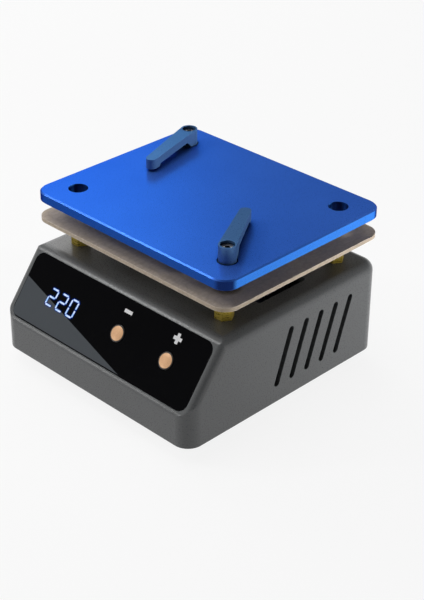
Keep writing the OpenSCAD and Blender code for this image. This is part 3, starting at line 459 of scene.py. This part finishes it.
def makeCanSleeve(look):
    material, tree, shader, wearAndHighlight = makeSurface("capacitor_sleeve", look)
    face = addNode(tree, "ShaderNodeNewGeometry")
    parts = addNode(tree, "ShaderNodeSeparateXYZ")
    top = addNode(tree, "ShaderNodeMath", {1: look["upright"]}, operation="GREATER_THAN")
    tone = addNode(tree, "ShaderNodeMix", {"B": linear(*look["bare"])}, data_type="RGBA")
    link = tree.links.new
    link(face.outputs["Normal"], parts.inputs[0])
    link(parts.outputs["Z"], top.inputs[0])
    link(top.outputs[0], tone.inputs["Factor"])
    link(wearAndHighlight.outputs["Colour"], tone.inputs["A"])
    link(tone.outputs["Result"], shader.inputs["Base Color"])
    link(top.outputs[0], shader.inputs["Metallic"])
    return material


# Flat ribbon: ten cores side by side, with painted shade in the valleys between them
greyRibbon = {
    "tone": (186, 187, 190), "fleck": (168, 169, 173), "edge": (206, 207, 210), "grain": 1500.0,
    "smooth": 0.45, "rough": 0.62, "bump": 0.2, "wearAndSheen": 0.3, "cores": 780.0, "valleyShade": (128, 129, 134),
}


def makeGreyRibbon(look):
    material, tree, shader, wearAndHighlight = makeSurface("ribbon_grey", look)
    place = addNode(tree, "ShaderNodeTexCoord")
    cores = addNode(tree, "ShaderNodeTexWave", {"Scale": look["cores"] / math.tau}, bands_direction="X")
    # painted shade: darker bands between the cores
    tone = addNode(tree, "ShaderNodeMix", {"A": linear(*look["valleyShade"])}, data_type="RGBA")
    link = tree.links.new
    link(place.outputs["Object"], cores.inputs["Vector"])
    link(cores.outputs["Fac"], tone.inputs["Factor"])
    link(wearAndHighlight.outputs["Colour"], tone.inputs["B"])
    link(tone.outputs["Result"], shader.inputs["Base Color"])
    return material


surfaces["anodised_blue"] = makeBlueAnodise(blueAnodise)
surfaces["insulation_cream"] = makeCreamBoard(creamBoard)
surfaces["board_green"] = makeGreenBoard(greenBoard)
surfaces["capacitor_sleeve"] = makeCanSleeve(canSleeve)
surfaces["ribbon_grey"] = makeGreyRibbon(greyRibbon)


# Panel frame: its middle, the way up the slope, the way out, and its two sizes
def panelFrame():
    press = next(joint for joint in frame["joints"] if joint["name"] == "minus_button_press")
    out = -Vector(press["axis"]).normalized()
    up = Vector((0, out.z, -out.y))
    low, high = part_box("front_panel")
    size = high - low
    lean = up.y
    rise = up.z
    thick = (rise * size.y - lean * size.z) / (rise * rise - lean * lean)
    tall = (rise * size.z - lean * size.y) / (rise * rise - lean * lean)
    middle = (low + high) / 2 + out * thick / 2
    return {"middle": middle, "up": up, "out": out, "wide": size.x, "tall": tall}


panel = panelFrame()


# A point on the panel, in millimetres right of and above its middle
def onPanel(right, above, lift=0.0):
    point = panel["middle"] + panel["up"] * above / 1000 + panel["out"] * lift / 1000
    return point + Vector((right / 1000, 0, 0))


# Black panel with a grey corner below a slanting line, and a narrow black rim kept round the grey
panelPrint = {
    "tone": (8, 8, 10), "fleck": (6, 6, 8), "edge": (40, 42, 45), "grain": 500.0, "smooth": 0.12,
    "rough": 0.22, "bump": 0.02, "deep": 0.00001, "wearAndSheen": 0.2, "reach": 0.0002, "shine": 0.025,
    "corner": (80, 84, 88),
    "lineAbove": 1.87, "lineAt": -36.4, "lineFall": 0.255, "footRim": 0.3, "sideRim": 0.12, "soft": 0.06,
}


def makePanelPrint(look):
    material, tree, shader, wearAndHighlight = makeSurface("panel_black", look)
    place = addNode(tree, "ShaderNodeTexCoord")
    link = tree.links.new

    def below(direction, limit):
        along = addNode(tree, "ShaderNodeVectorMath", {1: direction}, operation="DOT_PRODUCT")
        soft = look["soft"] / 1000
        mask = addNode(tree, "ShaderNodeMapRange", {"From Min": limit + soft, "From Max": limit - soft})
        link(place.outputs["Object"], along.inputs[0])
        link(along.outputs["Value"], mask.inputs["Value"])
        return mask.outputs[0]

    def both(first, second):
        node = addNode(tree, "ShaderNodeMath", operation="MULTIPLY")
        link(first, node.inputs[0])
        link(second, node.inputs[1])
        return node.outputs[0]

    middle = panel["middle"]
    up = panel["up"]
    slant = up + Vector((look["lineFall"], 0, 0))
    start = onPanel(look["lineAt"], look["lineAbove"])
    corner = below(slant, start.dot(slant))
    foot = below(-up, -middle.dot(up) + panel["tall"] / 2 - look["footRim"] / 1000)
    side = below(Vector((-1, 0, 0)), panel["wide"] / 2 - look["sideRim"] / 1000)
    tone = addNode(tree, "ShaderNodeMix", {"B": linear(*look["corner"])}, data_type="RGBA")
    link(both(both(corner, foot), side), tone.inputs["Factor"])
    link(wearAndHighlight.outputs["Colour"], tone.inputs["A"])
    link(tone.outputs["Result"], shader.inputs["Base Color"])
    return material


surfaces["panel_black"] = makePanelPrint(panelPrint)


# Buttons: a copper-coloured face inside a ring of painted shade, where the gap round the cap falls dark
satinCopper = {
    "tone": (224, 176, 131), "fleck": (209, 161, 117), "edge": (244, 206, 166), "grain": 3200.0,
    "smooth": 0.32, "rough": 0.5, "bump": 0.2, "deep": 0.00002, "wearAndSheen": 0.3, "reach": 0.0002, "metal": 0.2,
    # the dark ring colour is painted shade of the gap round the cap
    "sleeve": (26, 20, 17), "face": 2.2, "soft": 0.05, "rise": 0.5,
}


def makeButton(name, look):
    material, tree, shader, wearAndHighlight = makeSurface(name, look)
    low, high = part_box(name)
    middle = onPanel((low.x + high.x) * 500, 0, look["rise"])
    place = addNode(tree, "ShaderNodeTexCoord")
    away = addNode(tree, "ShaderNodeVectorMath", {1: middle}, operation="DISTANCE")
    # painted shade: the outer ring of the cap darkened where the gap round it lies in shadow
    ring = addNode(tree, "ShaderNodeMapRange", {
        "From Min": (look["face"] - look["soft"]) / 1000, "From Max": (look["face"] + look["soft"]) / 1000,
    })
    tone = addNode(tree, "ShaderNodeMix", {"B": linear(*look["sleeve"])}, data_type="RGBA")
    link = tree.links.new
    link(place.outputs["Object"], away.inputs[0])
    link(away.outputs["Value"], ring.inputs["Value"])
    link(ring.outputs[0], tone.inputs["Factor"])
    link(wearAndHighlight.outputs["Colour"], tone.inputs["A"])
    link(tone.outputs["Result"], shader.inputs["Base Color"])
    return material


buttons = {name: makeButton(name, satinCopper) for name in ("minus_button", "plus_button")}
for name, thing in frame["nodes"].items():
    thing.data.materials.clear()
    thing.data.materials.append(buttons[name] if name in buttons else surfaces[slotOf[name]])
print("surfaces:", len(surfaces), "finishes on", len(frame["nodes"]), "nodes")


def newPiece(name, mesh, surface, body="base"):
    thing = bpy.data.objects.new(name, mesh)
    scene.collection.objects.link(thing)
    mesh.materials.append(surface)
    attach(thing, body)
    return thing


# Lit digits: slanted bars with pointed ends, and a glow that fades out round each bar
litDigits = {
    "show": "220",
    "middles": (-24.6, -20.05, -15.45),
    "above": -0.2,
    "halfWide": 1.38,
    "halfTall": 2.56,
    "lean": 0.08,
    "bar": 0.5,
    "gap": 0.14,
    "lift": 0.02,
    "thick": 0.04,
    "rim": 0.008,
    "crown": 0.97,
    "light": (210, 228, 255),
    "cool": (146, 196, 255),
    "speck": 900.0,
    "glow": 0.5,
    "glowFrom": 0.8,
    "glowRings": 5,
    "glowSides": 28,
    "glowLift": 0.008,
    "glowStep": 0.0006,
    "haze": (26, 66, 168),
}
barsOf = {
    "0": "abcdef", "1": "bc", "2": "abged", "3": "abgcd", "4": "fgbc", "5": "afgcd", "6": "afgecd",
    "7": "abc", "8": "abcdefg", "9": "abcdfg",
}


def barEnds(letter, wide, tall):
    ends = {
        "a": ((-wide, tall), (wide, tall)), "g": ((-wide, 0), (wide, 0)),
        "b": ((wide, tall), (wide, 0)), "c": ((wide, 0), (wide, -tall)),
        "f": ((-wide, tall), (-wide, 0)), "e": ((-wide, 0), (-wide, -tall)),
        "d": ((-wide, -tall), (wide, -tall)),
    }
    return [Vector(end) for end in ends[letter]]


def barOutline(start, end, half, trim):
    along = (end - start).normalized()
    across = Vector((-along.y, along.x))
    first = start + along * trim
    last = end - along * trim
    return [first, first + (along + across) * half, last + (across - along) * half, last,
            last - (along + across) * half, first + (along - across) * half]


def layOnPanel(look, middle, point, lift):
    right = middle + point.x + look["lean"] * point.y
    return onPanel(right, look["above"] + point.y, lift)


def addBar(work, look, middle, start, end):
    outline = barOutline(start, end, look["bar"] / 2, look["gap"])
    centre = (start + end) / 2
    inner = [centre + (point - centre) * look["crown"] for point in outline]
    top = look["lift"] + look["thick"]
    levels = ((outline, look["lift"]), (outline, top - look["rim"]), (inner, top))
    rings = []
    for points, lift in levels:
        rings.append([work.verts.new(layOnPanel(look, middle, point, lift)) for point in points])
    count = len(outline)
    for ring, above in zip(rings, rings[1:]):
        for i in range(count):
            onward = (i + 1) % count
            work.faces.new((ring[i], ring[onward], above[onward], above[i]))
    work.faces.new(rings[-1])
    work.faces.new(rings[0][::-1])


# Rings that fade outwards round one bar, each bar's at a height of its own so that none lie in one plane
def addHaze(work, fade, look, middle, start, end, lift):
    centre = (start + end) / 2
    along = (end - start).normalized()
    across = Vector((-along.y, along.x))
    push = (end - start).length / 2 - look["gap"] - look["bar"] / 2
    sides = look["glowSides"]
    rings = []
    for step in range(look["glowRings"]):
        share = step / (look["glowRings"] - 1)
        spread = look["bar"] / 2 * look["glowFrom"] + look["glow"] * share
        strength = (1 - share) ** 2
        ring = []
        for i in range(sides):
            turn = math.tau * i / sides
            point = centre + along * (math.copysign(push, math.cos(turn)) + spread * math.cos(turn))
            point += across * spread * math.sin(turn)
            vert = work.verts.new(layOnPanel(look, middle, point, lift))
            vert[fade] = (strength, strength, strength, 1)
            ring.append(vert)
        rings.append(ring)
    for inner, outer in zip(rings, rings[1:]):
        for i in range(sides):
            onward = (i + 1) % sides
            work.faces.new((inner[i], outer[i], outer[onward], inner[onward]))
    work.faces.new(rings[0])


def finishMesh(name, work):
    work.normal_update()
    mesh = bpy.data.meshes.new(name)
    work.to_mesh(mesh)
    work.free()
    return mesh


def makeDigits(look):
    solid = bmesh.new()
    haze = bmesh.new()
    fade = haze.verts.layers.float_color.new("fade")
    count = 0
    for digit, middle in zip(look["show"], look["middles"]):
        for letter in barsOf[digit]:
            start, end = barEnds(letter, look["halfWide"], look["halfTall"])
            count += 1
            addBar(solid, look, middle, start, end)
            addHaze(haze, fade, look, middle, start, end, look["glowLift"] + look["glowStep"] * count)
    return finishMesh("litBars", solid), finishMesh("litGlow", haze)


def makeBarLight(look):
    material = bpy.data.materials.new("barLight")
    material.use_nodes = True
    tree = material.node_tree
    shader = tree.nodes["Principled BSDF"]
    shader.inputs["Base Color"].default_value = (0.02, 0.02, 0.03, 1)
    shader.inputs["Roughness"].default_value = 0.5
    shader.inputs["Emission Strength"].default_value = 1.0
    place = addNode(tree, "ShaderNodeTexCoord")
    speck = addNode(tree, "ShaderNodeTexNoise", {"Scale": look["speck"], "Detail": 1.0})
    ends = {"A": linear(*look["light"]), "B": linear(*look["cool"])}
    tone = addNode(tree, "ShaderNodeMix", ends, data_type="RGBA")
    level = addNode(tree, "ShaderNodeMapRange", {"From Min": 0.4, "From Max": 0.7})
    link = tree.links.new
    link(place.outputs["Object"], speck.inputs["Vector"])
    link(speck.outputs["Fac"], level.inputs["Value"])
    link(level.outputs[0], tone.inputs["Factor"])
    link(tone.outputs["Result"], shader.inputs["Emission Color"])
    return material


def makeGlow(look):
    material = bpy.data.materials.new("barGlow")
    material.use_nodes = True
    tree = material.node_tree
    shader = tree.nodes["Principled BSDF"]
    shader.inputs["Base Color"].default_value = (0.0, 0.0, 0.0, 1)
    shader.inputs["Specular IOR Level"].default_value = 0.0
    shader.inputs["Emission Color"].default_value = linear(*look["haze"])
    shader.inputs["Emission Strength"].default_value = 1.0
    fade = addNode(tree, "ShaderNodeVertexColor", layer_name="fade")
    tree.links.new(fade.outputs["Color"], shader.inputs["Alpha"])
    return material


barMesh, glowMesh = makeDigits(litDigits)
newPiece("litBars", barMesh, makeBarLight(litDigits))
newPiece("litGlow", glowMesh, makeGlow(litDigits))
print("digits lit:", litDigits["show"])


# Printed signs above the two buttons
printedSigns = {
    "minus": (4.6, 6.93),
    "plus": (24.69, 6.93),
    "arm": 1.58,
    "half": 0.53,
    "corner": 0.12,
    "bow": 0.3,
    "foot": 0.002,
    "lift": 0.015,
    "ink": {"tone": (232, 232, 232), "fleck": (214, 214, 216), "edge": (240, 240, 240), "grain": 2800.0,
            "smooth": 0.45, "rough": 0.6, "bump": 0.15, "deep": 0.00001, "wearAndSheen": 0.2, "reach": 0.0001},
}


def makeSigns(look):
    work = bmesh.new()
    arm = look["arm"]
    half = look["half"]
    shapes = {
        "minus": [(arm, half), (-arm, half), (-arm, -half), (arm, -half)],
        "plus": [(arm, half), (half, half), (half, arm), (-half, arm), (-half, half), (-arm, half),
                 (-arm, -half), (-half, -half), (-half, -arm), (half, -arm), (half, -half), (arm, -half)],
    }
    for name, corners in shapes.items():
        right, above = look[name]
        outline = []
        count = len(corners)
        for i in range(count):
            # Each corner becomes a short arc of three points
            here = Vector(corners[i])
            back = (Vector(corners[i - 1]) - here).normalized() * look["corner"]
            onward = (Vector(corners[(i + 1) % count]) - here).normalized() * look["corner"]
            outline += [here + back, here + (back + onward) * look["bow"], here + onward]
        rings = []
        for lift in (look["foot"], look["lift"]):
            spots = [onPanel(right + point.x, above + point.y, lift) for point in outline]
            rings.append([work.verts.new(spot) for spot in spots])
        low, high = rings
        for i in range(len(low)):
            onward = (i + 1) % len(low)
            work.faces.new((low[i], low[onward], high[onward], high[i]))
        work.faces.new(high)
        work.faces.new(low[::-1])
    return finishMesh("printedSigns", work)


signInk = makeSurface("signInk", printedSigns["ink"])[0]
newPiece("printedSigns", makeSigns(printedSigns), signInk)
print("signs printed")


# Clamp springs: round wire with the end turns closed flat
clampSpring = {
    "turns": 2.6, "wire": 0.0005, "sides": 12, "steps": 150, "closed": 0.16, "creep": 0.14, "lift": 0.0014,
}


def makeSpring(name, look):
    low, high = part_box(name + "_clamp_spring")
    middle = (low + high) / 2
    half = look["wire"] / 2
    radius = (high.x - low.x) / 2 - half
    floor = low.z + half
    rise = high.z - low.z - look["wire"]
    work = bmesh.new()
    rings = []
    for step in range(look["steps"] + 1):
        share = step / look["steps"]
        climb = min(max((share - look["closed"]) / (1 - 2 * look["closed"]), 0), 1)
        climb = climb * (1 - look["creep"]) + look["creep"] * share
        turn = math.tau * look["turns"] * share
        out = Vector((math.cos(turn), math.sin(turn), 0))
        centre = Vector((middle.x, middle.y, floor + rise * climb)) + out * radius
        ring = []
        for side in range(look["sides"]):
            angle = math.tau * side / look["sides"]
            spoke = out * math.cos(angle) + Vector((0, 0, math.sin(angle)))
            ring.append(work.verts.new(centre + half * spoke))
        rings.append(ring)
    sides = look["sides"]
    for ring, after in zip(rings, rings[1:]):
        for side in range(sides):
            onward = (side + 1) % sides
            face = work.faces.new((ring[side], after[side], after[onward], ring[onward]))
            face.smooth = True
    work.faces.new(rings[0])
    work.faces.new(rings[-1][::-1])
    bmesh.ops.recalc_face_normals(work, faces=work.faces[:])
    mesh = finishMesh(name + "Spring", work)
    spring = newPiece(name + "Spring", mesh, surfaces["screw_steel"])
    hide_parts(name + "_clamp_spring")
    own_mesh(spring)


for side in ("front", "rear"):
    makeSpring(side, clampSpring)
print("springs wound")


# One where the camera, a mirror or a clear piece looks, so that the pale background adds no light
def seenBy(tree):
    rays = addNode(tree, "ShaderNodeLightPath")
    seen = addNode(tree, "ShaderNodeMath", operation="ADD")
    anyOf = addNode(tree, "ShaderNodeMath", operation="ADD", use_clamp=True)
    tree.links.new(rays.outputs["Is Camera Ray"], seen.inputs[0])
    tree.links.new(rays.outputs["Is Glossy Ray"], seen.inputs[1])
    tree.links.new(seen.outputs[0], anyOf.inputs[0])
    tree.links.new(rays.outputs["Is Transmission Ray"], anyOf.inputs[1])
    return anyOf.outputs[0]


# Pale floor: white to the camera, shaded where the object stands on it
paleFloor = {"radius": 8.0, "below": 0.00002, "tone": (0.72, 0.72, 0.72), "white": 0.87}


def makeFloor(look):
    work = bmesh.new()
    bmesh.ops.create_circle(work, cap_ends=True, segments=96, radius=look["radius"])
    mesh = finishMesh("benchFloor", work)
    material = bpy.data.materials.new("benchFloor")
    material.use_nodes = True
    tree = material.node_tree
    tree.nodes.clear()
    level = addNode(tree, "ShaderNodeMath", {1: look["white"]}, operation="MULTIPLY")
    matt = addNode(tree, "ShaderNodeBsdfDiffuse", {"Color": look["tone"] + (1,)})
    glow = addNode(tree, "ShaderNodeEmission", {"Strength": 1.0})
    mix = addNode(tree, "ShaderNodeMixShader")
    end = addNode(tree, "ShaderNodeOutputMaterial")
    link = tree.links.new
    link(seenBy(tree), level.inputs[0])
    link(level.outputs[0], mix.inputs["Fac"])
    link(matt.outputs[0], mix.inputs[1])
    link(glow.outputs[0], mix.inputs[2])
    link(mix.outputs[0], end.inputs["Surface"])
    mesh.materials.append(material)
    floor = bpy.data.objects.new("benchFloor", mesh)
    floor.location.z = -look["below"]
    scene.collection.objects.link(floor)


makeFloor(paleFloor)


# Studio light: a room bright to the front left, with a pale skirting, an overhead box, panels and strips
studio = {
    "skirting": 0.9,
    "skirtingFull": 0.12,
    "skirtingEnd": 0.3,
    "glow": 0.6,
    "dusk": 0.06,
    "towards": (-0.77, -0.54, 0.34),
    "from": 0.1,
    "to": 0.9,
    "lamps": (
        {"name": "overhead", "place": (-0.15, -0.1, 0.95), "aim": (0, 0, 0.03), "size": 0.6, "power": 3.0,
         "spread": 180, "mirrored": True},
        {"name": "rightPanel", "place": (0.6, 0.45, 0.1), "aim": (0.04, 0.075, 0.055), "size": 0.1,
         "power": 0.09, "spread": 20, "mirrored": False},
        {"name": "leftPanel", "place": (-0.73, 0.27, 0.48), "aim": (0, 0, 0.03), "size": 0.7, "power": 3.0,
         "spread": 180, "mirrored": True},
        {"name": "edgeStrip", "place": (-0.56, -0.44, 0.6), "aim": (0, 0, 0.04), "size": 0.16, "power": 1.2,
         "spread": 180, "mirrored": True},
        {"name": "lowStrip", "place": (-0.56, -0.69, 0.17), "aim": (0, 0, 0.03), "size": 0.2, "power": 0.58,
         "spread": 180, "mirrored": True},
    ),
}


def lightStudio(look):
    world = bpy.data.worlds.new("studioRoom")
    scene.world = world
    world.use_nodes = True
    tree = world.node_tree
    tree.nodes.clear()
    place = addNode(tree, "ShaderNodeTexCoord")
    along = addNode(tree, "ShaderNodeVectorMath", {1: look["towards"]}, operation="DOT_PRODUCT")
    level = addNode(tree, "ShaderNodeMapRange", {
        "From Min": look["from"], "From Max": look["to"], "To Min": look["dusk"], "To Max": look["glow"],
    })
    parts = addNode(tree, "ShaderNodeSeparateXYZ")
    skirting = addNode(tree, "ShaderNodeMapRange", {
        "From Min": look["skirtingFull"], "From Max": look["skirtingEnd"],
        "To Min": look["skirting"], "To Max": 0.0,
    })
    shown = addNode(tree, "ShaderNodeMath", operation="MULTIPLY")
    higher = addNode(tree, "ShaderNodeMath", operation="MAXIMUM")
    room = addNode(tree, "ShaderNodeBackground", {"Color": (1, 1, 1, 1)})
    end = addNode(tree, "ShaderNodeOutputWorld")
    link = tree.links.new
    link(place.outputs["Generated"], along.inputs[0])
    link(along.outputs["Value"], level.inputs["Value"])
    link(place.outputs["Generated"], parts.inputs[0])
    link(parts.outputs["Z"], skirting.inputs["Value"])
    link(level.outputs[0], higher.inputs[0])
    link(skirting.outputs[0], shown.inputs[0])
    link(seenBy(tree), shown.inputs[1])
    link(shown.outputs[0], higher.inputs[1])
    link(higher.outputs[0], room.inputs["Strength"])
    link(room.outputs[0], end.inputs["Surface"])
    for lamp in look["lamps"]:
        data = bpy.data.lights.new(lamp["name"], "AREA")
        data.shape = "DISK"
        data.size = lamp["size"]
        data.energy = lamp["power"]
        data.spread = math.radians(lamp["spread"])
        thing = bpy.data.objects.new(lamp["name"], data)
        thing.location = lamp["place"]
        aim = Vector(lamp["aim"]) - Vector(lamp["place"])
        thing.rotation_euler = aim.to_track_quat("-Z", "Y").to_euler()
        thing.visible_camera = False
        thing.visible_glossy = lamp["mirrored"]
        scene.collection.objects.link(thing)


lightStudio(studio)
print("floor and light set")
